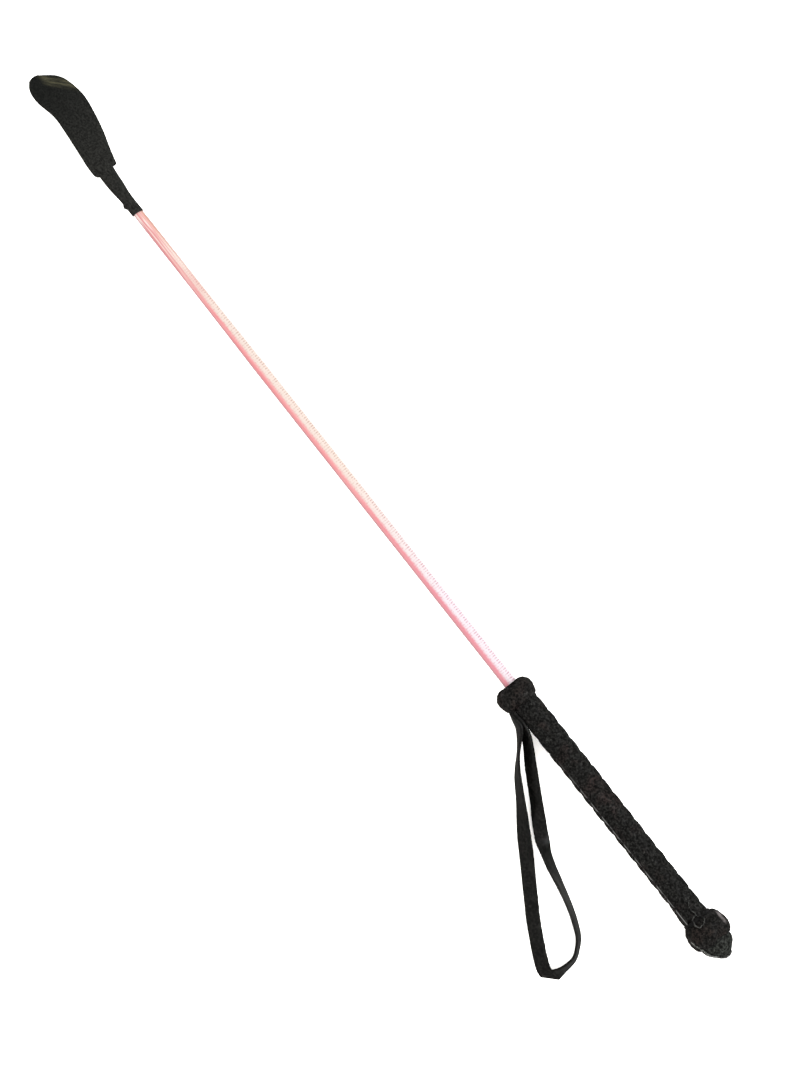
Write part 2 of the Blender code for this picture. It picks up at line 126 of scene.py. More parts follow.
def mesh_from_rings(name, rings, closed, uv_lengths):
    """A skin over equal rings of points. U runs along them in centimetres, and V is 0 to 1 round each."""
    count, around = len(rings), len(rings[0])
    points = [tuple(point) for ring in rings for point in ring]
    faces, uvs = [], []
    last = count if closed else count - 1
    for i in range(last):
        j = (i + 1) % count
        for k in range(around):
            m = (k + 1) % around
            faces.append((i * around + k, j * around + k, j * around + m, i * around + m))
            near, far = uv_lengths[i] * UV_PER_METRE, uv_lengths[i + 1] * UV_PER_METRE
            low, high = k / around, (k + 1) / around
            uvs += [(near, low), (far, low), (far, high), (near, high)]
    if not closed:
        for base, length in ((0, uv_lengths[0]), ((count - 1) * around, uv_lengths[-1])):
            ring = list(range(base, base + around))
            faces.append(ring if base else ring[::-1])
            uvs += [(length * UV_PER_METRE, 0.25)] * around
    mesh = bpy.data.meshes.new(name)
    mesh.from_pydata(points, [], faces)
    layer = mesh.uv_layers.new(name="UVMap")
    layer.data.foreach_set("uv", np.array(uvs, dtype=np.float32).ravel())
    return mesh


def add_piece(name, mesh, material, body=CROP, replaces=(), sharp=50):
    """Puts a mesh in the scene with outward faces, and says what it rides on and stands for."""
    bm = bmesh.new()
    bm.from_mesh(mesh)
    bmesh.ops.recalc_face_normals(bm, faces=bm.faces)
    bm.to_mesh(mesh)
    bm.free()
    mesh.materials.append(material)
    mesh.shade_smooth()
    mesh.set_sharp_from_angle(angle=math.radians(sharp))
    piece = bpy.data.objects.new(name, mesh)
    bpy.context.scene.collection.objects.link(piece)
    if body:
        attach(piece, body)
    if replaces:
        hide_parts(*replaces)
    return piece


def lengths_along(points, closed=False):
    """How far along the row each point lies, with one more value at the end where the row is closed."""
    row = [Vector(p) for p in points]
    if closed:
        row.append(row[0])
    travelled = [0.0]
    for a, b in zip(row, row[1:]):
        travelled.append(travelled[-1] + (b - a).length)
    return travelled


# ---------------------------------------- materials


class Shader:
    """A Principled material that is put together from a few named node patterns."""

    def __init__(self, name, colour, roughness, **uniform):
        self.material = bpy.data.materials.new(name)
        self.material.use_nodes = True
        self.tree = self.material.node_tree
        self.shader = self.tree.nodes["Principled BSDF"]
        self.shader.inputs["Base Color"].default_value = (*colour, 1)
        self.shader.inputs["Roughness"].default_value = roughness
        for socket, value in uniform.items():
            self.shader.inputs[socket.replace("_", " ")].default_value = value
        self.height = None

    def node(self, kind, **values):
        made = self.tree.nodes.new(kind)
        for key, value in values.items():
            setattr(made, key, value)
        return made

    def link(self, source, target):
        self.tree.links.new(source, target)

    def place(self, kind="Object", stretch=(1, 1, 1), turn=(0, 0, 0), source=None):
        """Coordinates in the piece's own space, or its UVs, or the given ones, scaled and turned."""
        source = source or self.node("ShaderNodeTexCoord").outputs[kind]
        mapping = self.node("ShaderNodeMapping")
        mapping.inputs["Scale"].default_value = stretch
        mapping.inputs["Rotation"].default_value = turn
        self.link(source, mapping.inputs["Vector"])
        return mapping.outputs["Vector"]

    def component(self, kind, axis, turn=0.0):
        """One component of the coordinates, turned about Z first."""
        split = self.node("ShaderNodeSeparateXYZ")
        self.link(self.place(kind, turn=(0, 0, turn)), split.inputs["Vector"])
        return split.outputs[axis]

    def noise(self, scale, detail=4.0, roughness=0.55, place=None, distortion=0.0):
        made = self.node("ShaderNodeTexNoise")
        made.inputs["Scale"].default_value = scale
        made.inputs["Detail"].default_value = detail
        made.inputs["Roughness"].default_value = roughness
        made.inputs["Distortion"].default_value = distortion
        self.link(place or self.place(), made.inputs["Vector"])
        return made.outputs["Fac"]

    def cells(self, scale):
        made = self.node("ShaderNodeTexVoronoi")
        made.inputs["Scale"].default_value = scale
        self.link(self.place(), made.inputs["Vector"])
        return made.outputs["Distance"]

    def waves(self, scale, place, direction="X", distortion=0.0, detail=2.0):
        made = self.node("ShaderNodeTexWave", bands_direction=direction)
        made.inputs["Scale"].default_value = scale
        made.inputs["Distortion"].default_value = distortion
        made.inputs["Detail"].default_value = detail
        made.inputs["Detail Scale"].default_value = 1.5
        self.link(place, made.inputs["Vector"])
        return made.outputs["Fac"]

    def ramp(self, value, low, high, start=0.0, end=1.0):
        """The value's way from low to high, as start to end and no further. low may be the greater."""
        made = self.node("ShaderNodeMapRange")
        made.inputs["From Min"].default_value = low
        made.inputs["From Max"].default_value = high
        made.inputs["To Min"].default_value = start
        made.inputs["To Max"].default_value = end
        self.link(value, made.inputs["Value"])
        return made.outputs["Result"]

    def mix(self, share, first, second):
        """A colour between two, each a colour or another node's output."""
        made = self.node("ShaderNodeMix", data_type="RGBA")
        for key, value in (("Factor", share), ("A", first), ("B", second)):
            socket = next(s for s in made.inputs if s.name == key and (key == "Factor" or s.type == "RGBA"))
            if isinstance(value, tuple):
                socket.default_value = (*value, 1)
            elif isinstance(value, float):
                socket.default_value = value
            else:
                self.link(value, socket)
        return next(s for s in made.outputs if s.type == "RGBA")

    def maths(self, operation, *values):
        made = self.node("ShaderNodeMath", operation=operation)
        for socket, value in zip(made.inputs, values):
            if isinstance(value, (int, float)):
                socket.default_value = value
            else:
                self.link(value, socket)
        return made.outputs["Value"]

    def times(self, first, second):
        return self.maths("MULTIPLY", first, second)

    def plus(self, first, second):
        return self.maths("ADD", first, second)

    def between(self, value, rise, fall):
        """1 where the value lies between the two edges, each a (nothing, full) pair, and 0 outside them."""
        return self.times(self.ramp(value, *rise), self.ramp(value, *fall))

    def colour(self, source):
        self.link(source, self.shader.inputs["Base Color"])

    def rough(self, source):
        self.link(source, self.shader.inputs["Roughness"])

    def bump(self, source, depth, strength):
        """Adds a height of this depth in metres to the surface's bump."""
        made = self.node("ShaderNodeBump")
        made.inputs["Strength"].default_value = strength
        made.inputs["Distance"].default_value = depth
        self.link(source, made.inputs["Height"])
        if self.height:
            self.link(self.height, made.inputs["Normal"])
        self.height = made.outputs["Normal"]
        self.link(self.height, self.shader.inputs["Normal"])


# The tone of the painted sheen on the strap's outer leg, and how far it takes to fade in
STRAP_SHEEN_TONE = (0.0115, 0.011, 0.0106)
STRAP_SHEEN_SIDE_FADE = 2 * MM
STRAP_SHEEN_END_FADE = 25 * MM

# Painted highlights show as pale lines high on the plait's loop side, where the strands' edges catch the light.
# These (nothing, full) pairs say where they start and end across, in height and along. The height allows for the
# axis's slope.
PLAIT_HIGHLIGHT_TONE = (0.060, 0.061, 0.060)
PLAIT_HIGHLIGHT_SIDE = ((6.2 * MM, 6.4 * MM), (6.95 * MM, 6.75 * MM))
PLAIT_HIGHLIGHT_HEIGHT = (15.0 * MM, 15.2 * MM)
PLAIT_HIGHLIGHT_END = (-0.17, -0.20)
AXIS_SLOPE = 0.0075

# The tone of a painted highlight on the pommel knot's -Y side
KNOT_HIGHLIGHT_TONE = (0.0450, 0.0410, 0.0410)


def paint_strap_sheen(made, tone, side, start, end):
    """Painted sheen: pale streaks on the -Y side of Y = side, between X = start and X = end."""
    place = made.times(made.ramp(made.component("Object", "Y"), side + STRAP_SHEEN_SIDE_FADE, side),
                       made.ramp(made.component("Object", "X"), end, end - STRAP_SHEEN_END_FADE))
    place = made.times(place, made.ramp(made.component("Object", "X"), start, start + STRAP_SHEEN_END_FADE))
    streaks = made.ramp(made.noise(150.0, 5.0, 0.7, place=made.place("Object", (0.5, 1, 3))), 0.35, 0.6)
    return made.mix(made.times(place, streaks), tone, STRAP_SHEEN_TONE)


def paint_plait_highlights(made, tone):
    """Painted highlights: pale lines high on the plait's loop side, where the strands' edges catch the light."""
    side = made.component("Object", "Y")
    climb = made.times(made.component("Object", "X"), AXIS_SLOPE)
    height = made.plus(made.component("Object", "Z"), climb)
    plait_glint = made.between(side, *PLAIT_HIGHLIGHT_SIDE)
    plait_glint = made.times(plait_glint, made.ramp(height, *PLAIT_HIGHLIGHT_HEIGHT))
    plait_glint = made.times(plait_glint, made.ramp(made.component("Object", "X"), *PLAIT_HIGHLIGHT_END))
    return made.mix(plait_glint, tone, PLAIT_HIGHLIGHT_TONE)


def paint_highlight_spot(made, tone, x, y, long, wide):
    """A painted highlight: a paler spot about (x, y), reaching this far along and across, and full over half of
    that.
    """
    spot = made.ramp(made.noise(300.0, 4.0, 0.7), 0.35, 0.55, 0.2, 1.0)
    for axis, middle, reach in (("X", x, long), ("Y", y, wide)):
        for way in (-1, 1):
            spot = made.times(spot, made.ramp(made.component("Object", axis), middle + way * reach,
                                              middle + way * 0.5 * reach))
    return made.mix(spot, tone, KNOT_HIGHLIGHT_TONE)


def leather(name, dark, worn_and_sheen, wear, roughness, creases=0.12, coat=0.03, strap_sheen=None, edges=False, highlight_spot=None):
    """Dyed leather: speckled pebble grain with painted glints, soft creases, and patches where wear has taken
    the dye to another tone.

    wear is the share of the wear tone, and creases is their depth in millimetres. The last three arguments paint
    light:
    a streaked sheen over (side Y, start X, end X), highlights high on the plait's loop side, and a highlight
    spot over (x, y, long, wide)."""
    made = Shader(name, dark, roughness, Specular_IOR_Level=0.0, Coat_Weight=coat,
                  Coat_Roughness=roughness - 0.1)
    patches = made.ramp(made.noise(80.0, 3.0, 0.6), 0.50, 0.68)
    pebbles = made.ramp(made.noise(780.0, 3.0, 0.75), 0.44, 0.60)
    grains = made.ramp(made.noise(1500.0, 2.0, 0.7), 0.38, 0.62)
    speckle = made.times(pebbles, made.ramp(grains, 0.0, 1.0, 0.35, 1.0))
    tone = made.mix(speckle, tuple(0.2 * c for c in dark), tuple(4.2 * c for c in dark))
    # Painted glints: bright specks scattered over the pebbles
    glints = made.times(made.ramp(made.noise(190.0, 4.0, 0.75, distortion=0.6), 0.56, 0.68), pebbles)
    tone = made.mix(made.times(glints, 0.6), tone, tuple(9.0 * c for c in dark))
    if strap_sheen:
        tone = paint_strap_sheen(made, tone, *strap_sheen)
    if edges:
        tone = paint_plait_highlights(made, tone)
    if highlight_spot:
        tone = paint_highlight_spot(made, tone, *highlight_spot)
    made.colour(made.mix(made.times(made.times(patches, pebbles), wear), tone, worn_and_sheen))
    made.rough(made.ramp(made.noise(420.0, 5.0, 0.65), 0.3, 0.75, roughness - 0.16, roughness + 0.15))
    made.bump(made.cells(1500.0), 0.14 * MM, 0.6)
    made.bump(made.noise(330.0, 6.0, 0.7, distortion=0.4), creases * MM, 0.9)
    return made.material


# The keeper's painted sheen is a narrow band that slants across its tip. The pairs are (nothing, full): its two
# edges in a direction turned this far from X, and where it starts along and across the crop.
SHEEN_TURN = math.radians(48)
SHEEN_EDGES = ((0.2135, 0.2165), (0.2210, 0.2190))
SHEEN_START = (0.294, 0.308)
SHEEN_SIDE = (-2.6 * MM, -5.6 * MM)
SHEEN_TONE = (0.0261, 0.0252, 0.0158)
# The keeper darkens from its neck to its tip
DARKENING = (0.264, 0.312)


def suede():
    """The keeper's matt leather: a short nap with pale scuffs, and a painted olive sheen, with scratches, along
    the tip.
    """
    made = Shader("keeper_suede", (0.0081, 0.0081, 0.0077), 0.8, Specular_IOR_Level=0.0, Coat_Weight=0.015,
                  Coat_Roughness=0.6)
    nap = made.ramp(made.noise(1050.0, 4.0, 0.8), 0.40, 0.60)
    scuffs = made.ramp(made.noise(260.0, 6.0, 0.75, distortion=1.2), 0.56, 0.70)
    tone = made.mix(nap, (0.0016, 0.0016, 0.0015), (0.0121, 0.0123, 0.0115))
    tone = made.mix(made.times(scuffs, 0.35), tone, (0.0198, 0.0198, 0.0171))
    darkened = made.ramp(made.component("Object", "X"), *DARKENING, 0.0, 0.65)
    tone = made.mix(darkened, tone, (0.0020, 0.0023, 0.0022))
    # Painted sheen along the -Y edge of the keeper's tip, broken by scratches
    turned_place = made.place(turn=(0, 0, SHEEN_TURN))
    band = made.between(made.component("Object", "X", SHEEN_TURN), *SHEEN_EDGES)
    band = made.times(band, made.ramp(made.component("Object", "X"), *SHEEN_START))
    band = made.times(band, made.ramp(made.component("Object", "Y"), *SHEEN_SIDE))
    strokes = made.noise(110.0, 5.0, 0.75, place=made.place(stretch=(7, 1, 1), source=turned_place))
    worn_and_sheen = made.times(band, made.ramp(strokes, 0.40, 0.62, 0.1, 1.0))
    made.colour(made.mix(worn_and_sheen, tone, SHEEN_TONE))
    made.rough(made.ramp(made.noise(520.0), 0.3, 0.7, 0.7, 0.9))
    made.bump(nap, 0.10 * MM, 0.8)
    made.bump(made.noise(160.0, 3.0, 0.5), 0.25 * MM, 0.6)
    return made.material


# The pale tones paint a highlight over the shaft's top and -Y side; the deep pinks are the thread's own colour.
PAINTED_GLARE = (0.2310, 0.1960, 0.1800)
PAINTED_GLARE_NEAR_GRIP = (0.2340, 0.2090, 0.2250)
PAINTED_GLARE_NEAR_TIP = (0.2080, 0.1460, 0.1239)
STITCH = (0.1416, 0.0929, 0.0743)
STITCH_NEAR_GRIP = (0.1460, 0.0726, 0.0956)
DEEP = (0.2478, 0.0779, 0.0850)
DEEP_WORN = (0.2566, 0.1062, 0.1115)
DEEP_NEAR_GRIP = (0.2290, 0.0800, 0.1010)
DEEP_NEAR_TIP = (0.2460, 0.1186, 0.1097)
STREAK_PINK = (0.2150, 0.0640, 0.0720)
STREAK_PALE = (0.2611, 0.2213, 0.2120)
STREAK_BROWN = (0.2180, 0.0980, 0.0800)
RIM_BROWN = (0.1500, 0.0860, 0.0680)
# Painted shade along the shaft's +Y rim, away from the light
SHADED_RIM_PINK = (0.1460, 0.0620, 0.0690)
# Where the tones of the tip and of the grip's end fade in along X
TIP_FADE = (0.150, 0.215)
GRIP_FADE = (0.03, -0.06)


def pink_weave():
    """Glossy pink thread, wound close, with small stitches, and a painted highlight: a pale band over the top
    and down the -Y side.

    The mesh's V runs round the shaft from +Y over the top. Near the tip the threads lie lengthwise instead, and
    the underside is deep pink all along."""
    made = Shader("pink_thread", (0.2301, 0.1150, 0.1195), 0.45, Specular_IOR_Level=0.2)
    across = made.maths("COSINE", made.times(made.component("UV", "Y"), math.tau))
    along = made.component("Object", "X")
    near_tip = made.ramp(along, *TIP_FADE)
    near_grip = made.ramp(along, *GRIP_FADE)
    fine = made.noise(1100.0, 3.0, 0.6)
    stitches = made.waves(200.0, made.place("Object"), "X", 1.0, 2.0)
    threads = made.noise(24.0, 2.0, 0.6, place=made.place("Object", (1, 42, 42)))
    strands = made.noise(20.0, 1.0, 0.5, place=made.place("Object", (1, 58, 58)))
    # Leaning the streaks with across makes them paler on the -Y side: painted highlight on real threads
    strands = made.plus(strands, made.times(across, -0.11))
    # Painted highlight: the pale band on the -Y side, with scattered stitches and one close row of them
    pale = made.mix(near_grip, PAINTED_GLARE, PAINTED_GLARE_NEAR_GRIP)
    pale = made.mix(near_tip, pale, PAINTED_GLARE_NEAR_TIP)
    mark = made.mix(near_grip, STITCH, STITCH_NEAR_GRIP)
    spots = made.times(made.ramp(stitches, 0.5, 0.85), made.ramp(fine, 0.48, 0.56))
    pale = made.mix(made.times(spots, 0.5), pale, mark)
    row = made.between(across, (-0.36, -0.46), (-0.88, -0.78))
    row = made.times(made.times(row, made.ramp(stitches, 0.45, 0.75)), made.ramp(fine, 0.40, 0.5))
    pale = made.mix(made.times(row, 0.95), pale, mark)
    # Deep pink thread, and the uneven border between it and the painted highlight
    deep = made.mix(made.ramp(threads, 0.4, 0.6), DEEP, DEEP_WORN)
    deep = made.mix(made.times(near_grip, 0.8), deep, DEEP_NEAR_GRIP)
    deep = made.mix(near_tip, deep, DEEP_NEAR_TIP)
    border = made.plus(across, made.ramp(fine, 0.25, 0.75, -0.14, 0.14))
    body = made.mix(made.ramp(border, 0.02, 0.40), pale, deep)
    # The lengthwise threads near the tip
    lengthwise = made.mix(made.ramp(strands, 0.42, 0.50), STREAK_PINK, STREAK_PALE)
    lengthwise = made.mix(made.ramp(strands, 0.62, 0.66), lengthwise, STREAK_BROWN)
    body = made.mix(made.times(near_tip, 0.85), body, lengthwise)
    body = made.mix(made.times(made.ramp(across, -0.62, -0.80), near_tip), body, RIM_BROWN)
    # The underside, and painted shade: a darker rim along the loop's side, which faces away from the light
    body = made.mix(made.ramp(made.component("UV", "Y"), 0.465, 0.485), body, deep)
    body = made.mix(made.ramp(across, 0.70, 0.88), body, SHADED_RIM_PINK)
    made.colour(body)
    made.rough(made.ramp(threads, 0.3, 0.7, 0.36, 0.54))
    made.bump(made.waves(520.0, made.place("Object"), "X", 0.6, 2.0), 0.05 * MM, 0.5)
    return made.material


def waxed_thread():
    """Black waxed binding thread."""
    made = Shader("black_waxed_thread", (0.003, 0.003, 0.003), 0.5, Specular_IOR_Level=0.0, Coat_Weight=0.03)
    twist = made.waves(900.0, made.place("Object", turn=(0, 0, 0.6)), "X", 0.4)
    made.colour(made.mix(twist, (0.001, 0.001, 0.001), (0.006, 0.006, 0.006)))
    made.bump(twist, 0.06 * MM, 0.7)
    return made.material


def rod_gel():
    """The pale resin rod, with its glass fibres showing along it."""
    made = Shader("rod_fibreglass", (0.72, 0.68, 0.55), 0.3, Coat_Weight=0.3)
    fibres = made.noise(90.0, 5.0, 0.6, place=made.place("Object", (1, 30, 30)))
    made.colour(made.mix(fibres, (0.58, 0.53, 0.38), (0.82, 0.79, 0.68)))
    made.bump(fibres, 0.03 * MM, 0.4)
    return made.material


def turned_wood():
    """Raw wood with wavy growth rings."""
    made = Shader("pommel_raw_wood", (0.45, 0.3, 0.17), 0.6)
    rings = made.waves(110.0, made.place("Object", (0.3, 1, 1)), "Y", 4.0, 3.0)
    made.colour(made.mix(rings, (0.33, 0.2, 0.1), (0.56, 0.4, 0.24)))
    made.bump(rings, 0.05 * MM, 0.4)
    return made.material


def foam_core():
    """Dull rubber with small pores."""
    made = Shader("grip_core_rubber", (0.06, 0.055, 0.05), 0.8)
    pores = made.cells(1200.0)
    made.colour(made.mix(pores, (0.03, 0.028, 0.025), (0.09, 0.08, 0.07)))
    made.bump(pores, 0.08 * MM, 0.6)
    return made.material


# The plait's leather has painted highlights high on its loop side (edges=True).
PLAIT_LEATHER = leather("plait_leather", (0.0023, 0.0023, 0.0022), (0.0112, 0.0069, 0.0065), 0.62, 0.5,
                        edges=True)
# The knot leather has a painted highlight on the pommel knot's -Y side.
KNOT_LEATHER = leather("knot_leather", (0.0023, 0.0022, 0.0021), (0.0097, 0.0066, 0.0057), 0.7, 0.5,
                       creases=0.2, highlight_spot=(-0.3035, -11.8 * MM, 5.5 * MM, 1.1 * MM))
CAP_LEATHER = leather("cap_leather", (0.0040, 0.0043, 0.0039), (0.0132, 0.0150, 0.0132), 0.8, 0.55,
                      creases=0.22)
# The strap's leather carries a painted sheen, streaked along the outer leg's face.
STRAP_LEATHER = leather("strap_leather", (0.0012, 0.0012, 0.0011), (0.0053, 0.0044, 0.0044), 0.5, 0.42,
                        creases=0.06, coat=0.065, strap_sheen=(58 * MM, -0.264, -0.212))
EDGE_LEATHER = leather("edge_leather", (0.0070, 0.0074, 0.0069), (0.0440, 0.0440, 0.0405), 0.9, 0.5, coat=0.06)
CAP_EDGE_LEATHER = leather("cap_edge_leather", (0.0210, 0.0215, 0.0205), (0.0600, 0.0600, 0.0560), 0.9, 0.5,
                           coat=0.06)
KEEPER_SUEDE = suede()
BLACK_THREAD = waxed_thread()
PINK_THREAD = pink_weave()


def finish_inner_nodes():
    """The CAD solids that stay get their own materials."""
    finishes = {
        "shaft_rod": rod_gel(),
        "grip_core": foam_core(),
        "pommel_core": turned_wood(),
        "lower_binding": BLACK_THREAD,
        "upper_binding": BLACK_THREAD,
        "neck_binding": BLACK_THREAD,
        "keeper_tongue_upper": KEEPER_SUEDE,
        "keeper_tongue_lower": KEEPER_SUEDE,
    }
    for node, finish in finishes.items():
        for slot in frame["nodes"][node].material_slots:
            slot.material = finish


# ---------------------------------------- view, floor and light

VIEW_LONG_SIDE = 617.3 * MM
VIEW_MIDDLE = (-15.2 * MM, -3.7 * MM)
AXIS_HEIGHT = 11 * MM
LENS = 200.0
SENSOR = 36.0
VIEW_RIGHT = Vector((-0.6208, -0.7840, 0)).normalized()
VIEW_UP = Vector((0.7840, -0.6208, 0)).normalized()
FLOOR_HALF = 4.0
# How far the floor is set below the plane that the crop lies on
FLOOR_DROP = 0.2 * MM
ROOM_STRENGTH = 3.3
WINDOW_POWER = 40


def look_down():
    """A camera straight above the crop, turned so that the keeper is at the upper left."""
    camera = bpy.data.objects.new("camera", bpy.data.cameras.new("camera"))
    bpy.context.scene.collection.objects.link(camera)
    camera.data.lens = LENS
    camera.data.sensor_width = SENSOR
    camera.data.clip_end = 20
    turn = Matrix((VIEW_RIGHT, VIEW_UP, VIEW_RIGHT.cross(VIEW_UP))).transposed().to_4x4()
    height = AXIS_HEIGHT + LENS / SENSOR * VIEW_LONG_SIDE
    camera.matrix_world = Matrix.Translation((*VIEW_MIDDLE, height)) @ turn
    bpy.context.scene.camera = camera


def area_light(name, place, aim, size, power, colour):
    data = bpy.data.lights.new(name, "AREA")
    data.shape = "RECTANGLE"
    data.size, data.size_y = size
    data.energy = power
    data.color = colour
    light = bpy.data.objects.new(name, data)
    bpy.context.scene.collection.objects.link(light)
    light.location = place
    light.rotation_euler = (Vector(aim) - Vector(place)).to_track_quat("-Z", "Y").to_euler()


def set_stage():
    """A plain white floor under soft light: a bright window side at -Y, and an even pale room."""
    scene = bpy.context.scene
    scene.view_settings.view_transform = "Standard"
    mesh = bpy.data.meshes.new("floor")
    corners = [(x * FLOOR_HALF, y * FLOOR_HALF, 0) for x, y in ((-1, -1), (1, -1), (1, 1), (-1, 1))]
    mesh.from_pydata(corners, [], [(0, 1, 2, 3)])
    floor = bpy.data.objects.new("floor", mesh)
    scene.collection.objects.link(floor)
    floor.location.z = -FLOOR_DROP
    mesh.materials.append(Shader("floor_white", (0.95, 0.95, 0.95), 0.9, Specular_IOR_Level=0.1).material)
    world = bpy.data.worlds.new("room")
    scene.world = world
    world.use_nodes = True
    room = world.node_tree.nodes["Background"]
    room.inputs["Color"].default_value = (1.0, 0.98, 0.945, 1)
    room.inputs["Strength"].default_value = ROOM_STRENGTH
    area_light("window", (-0.8, -1.0, 1.2), (0, 0, 0), (0.9, 0.6), WINDOW_POWER, (0.96, 0.98, 1.0))


# ---------------------------------------- wrist loop (the cord)

STRAP_WIDTH = 8.3 * MM
STRAP_THICKNESS = 1.6 * MM
STRAP_CROWN = 0.12 * MM
KNOT_THICKNESS = 2.15 * MM
LEG_STATIONS = 150
# The strap thickens to KNOT_THICKNESS from this far along, over the length that follows, in millimetres
THICKENING = (168, 10)
# How ragged each cut edge is
EDGE_RAG = 0.45 * MM
OTHER_EDGE_RAG = 0.2 * MM
# The two ends that stay under the upper knot, on edge: (distance from the butt, sideways), in millimetres
TAIL_HEIGHT = 11.9
INNER_TAIL = ((186.8, 8.9), (188.6, 8.5), (191.5, 6.75), (196.0, 6.35))
OUTER_TAIL = ((187.1, 10.85), (188.6, 10.4), (191.5, 8.55), (196.0, 8.1))
# Where the strap comes out from under the knot
# Each leg is (distance from the butt, sideways, height, roll in degrees), in millimetres. A roll of 0 lies flat
# and 90 stands on edge. The points are the CAD's. So are the rolls, apart from the outer leg's between 104 and
# 53.6 mm, where the strap stands a little less on edge.
# From the knot down to the crease at the far end of the loop
LEG_OUT = (
    (184.6, 9.25, 11.7, 82), (180.5, 9.4, 11.9, 72), (176.0, 10.5, 11.8, 60), (172.0, 12.0, 11.2, 54),
    (166.7, 14.7, 9.9, 50), (160.5, 18.5, 8.2, 43), (154.6, 22.0, 6.9, 38), (146.0, 26.8, 5.4, 37),
    (138.0, 31.3, 4.0, 34), (131.0, 35.4, 2.8, 20), (124.0, 39.4, 1.8, 0), (118.0, 42.4, 2.4, -20),
    (112.0, 44.9, 3.7, -46), (104.0, 47.4, 4.05, -54), (96.8, 49.0, 4.2, -60), (88.0, 51.1, 4.25, -66),
    (80.0, 53.2, 4.3, -69), (71.0, 56.3, 4.3, -70), (62.0, 60.6, 4.3, -72), (56.3, 66.2, 4.3, -75),
    (53.6, 70.6, 4.25, -72), (52.9, 75.5, 4.15, -66), (52.9, 80.2, 3.95, -57), (53.3, 84.8, 2.8, -30),
)
# From the crease back to the knot
LEG_BACK = (
    (57.0, 88.2, 2.45, -24), (60.5, 87.7, 2.05, -18), (64.5, 86.1, 1.4, -8), (71.3, 82.8, 0.87, 0),
    (85.2, 75.3, 0.85, 0), (96.8, 68.1, 0.85, 0), (108.3, 60.8, 0.85, 0), (119.9, 53.5, 1.45, -8),
    (128.3, 48.4, 2.6, -24), (136.1, 43.3, 3.6, -40), (143.9, 38.3, 4.5, -56), (150.5, 34.3, 5.2, -62),
    (156.0, 30.9, 6.0, -67), (160.5, 27.6, 6.9, -75), (166.2, 22.7, 8.3, -84), (171.5, 17.9, 9.8, -82),
    (178.3, 12.3, 12.0, -69), (181.5, 11.45, 12.3, -73), (184.6, 11.25, 12.1, -82),
)


def strap_rings(route, width):
    """The strap's sections along one leg, rolled as the route says, and the middles of the sections."""
    places = [in_place(*row[:3]) for row in route]
    rings = []
    for i, (place, row) in enumerate(zip(places, route)):
        near_knot = min(1.0, max(0.0, (row[0] - THICKENING[0]) / THICKENING[1]))
        thickness = STRAP_THICKNESS + (KNOT_THICKNESS - STRAP_THICKNESS) * near_knot
        section = rounded_section(width, thickness, STRAP_CROWN, 0.3, 20)
        run = heading(places, i)
        side = Vector((0, 0, 1)).cross(run).normalized()
        roll = math.radians(row[3])
        across = math.cos(roll) * side + math.sin(roll) * run.cross(side)
        up = run.cross(across)
        ring = []
        for a, b in section:
            most = EDGE_RAG if a < 0 else OTHER_EDGE_RAG
            rag = noise.noise(place * 900 + Vector((0, 0, a * 700))) * most
            ring.append(place + across * (a + math.copysign(rag, a)) + up * b)
        rings.append(ring)
    return rings, places


def wrist_loop():
    """One flat strap: out from under the upper knot, creased at the loop's end, and back under the knot."""
    inner = [(distance, side, TAIL_HEIGHT, 90) for distance, side in reversed(INNER_TAIL)]
    outer = [(distance, side, TAIL_HEIGHT, -90) for distance, side in OUTER_TAIL]
    out = spline([*inner, *LEG_OUT], LEG_STATIONS)
    back = spline([*LEG_BACK, *outer], LEG_STATIONS)
    rings, places = strap_rings(out, STRAP_WIDTH)
    rings_back, places_back = strap_rings(back, STRAP_WIDTH)
    crease = len(rings)
    rings += rings_back
    places += places_back
    mesh = mesh_from_rings("wrist_loop", rings, False, lengths_along(places))
    strap = add_piece("wrist_loop", mesh, STRAP_LEATHER, body=None,
                      replaces=("wrist_loop_strap", "strap_tail_inner", "strap_tail_outer"))
    around = len(rings[0])
    folded = {ring * around + k for ring in (crease - 1, crease) for k in range(around)}
    sharp = mesh.attributes.get("sharp_edge") or mesh.attributes.new("sharp_edge", "BOOLEAN", "EDGE")
    for edge in mesh.edges:
        a, b = edge.vertices
        if a in folded and b in folded and a // around == b // around:
            sharp.data[edge.index].value = True
    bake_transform(strap)


# ---------------------------------------- plaited grip

PLAIT_START = 24.5 * MM
PLAIT_END = 190.5 * MM
PLAIT_LEAD = 40.4 * MM
PLAIT_RADIUS = 6.9 * MM
STRANDS_EACH_WAY = 4
STRAND_WIDTH = 8.1 * MM
STRAND_THICKNESS = 1.2 * MM
STRAND_SWAY = 0.42 * MM
STRAND_SLACK = 0.16 * MM
STEPS_PER_CROSSING = 10
# How uneven the strands' and the laces' surfaces are
UNEVENNESS = 0.22 * MM
# Where the plait stands out on the loop's side: (height, distance from the butt, reach)
FLARES = ((1.4 * MM, 34.5 * MM, 3.6 * MM), (0.7 * MM, 186.5 * MM, 3.5 * MM))


def steep(value, sharpness=1.8):
    """A wave with flat tops, so that a strand stays up over the whole of the strand it crosses."""
    return math.tanh(sharpness * value) / math.tanh(sharpness)


def wound(name, centreline, section, replaces):
    """A strand wound round the axis. centreline gives (distance, angle, radius) at each station."""
    rings, middles = [], []
    for i, (distance, angle, radius) in enumerate(centreline):
        before, after = centreline[max(i - 1, 0)], centreline[min(i + 1, len(centreline) - 1)]
        turn = (after[1] - before[1] + math.pi) % math.tau - math.pi
        run = Vector((after[0] - before[0], turn * radius)).normalized()
        ring = []
        for across, up in section:
            x = distance - run.y * across
            a = angle + run.x * across / radius
            ring.append(uneven(at(x, a, radius + up), at(x), UNEVENNESS, 330))
        rings.append(ring)
        middles.append(at(distance, angle, radius))
    mesh = mesh_from_rings(name, rings, False, lengths_along(middles))
    add_piece(name, mesh, PLAIT_LEATHER, replaces=replaces)


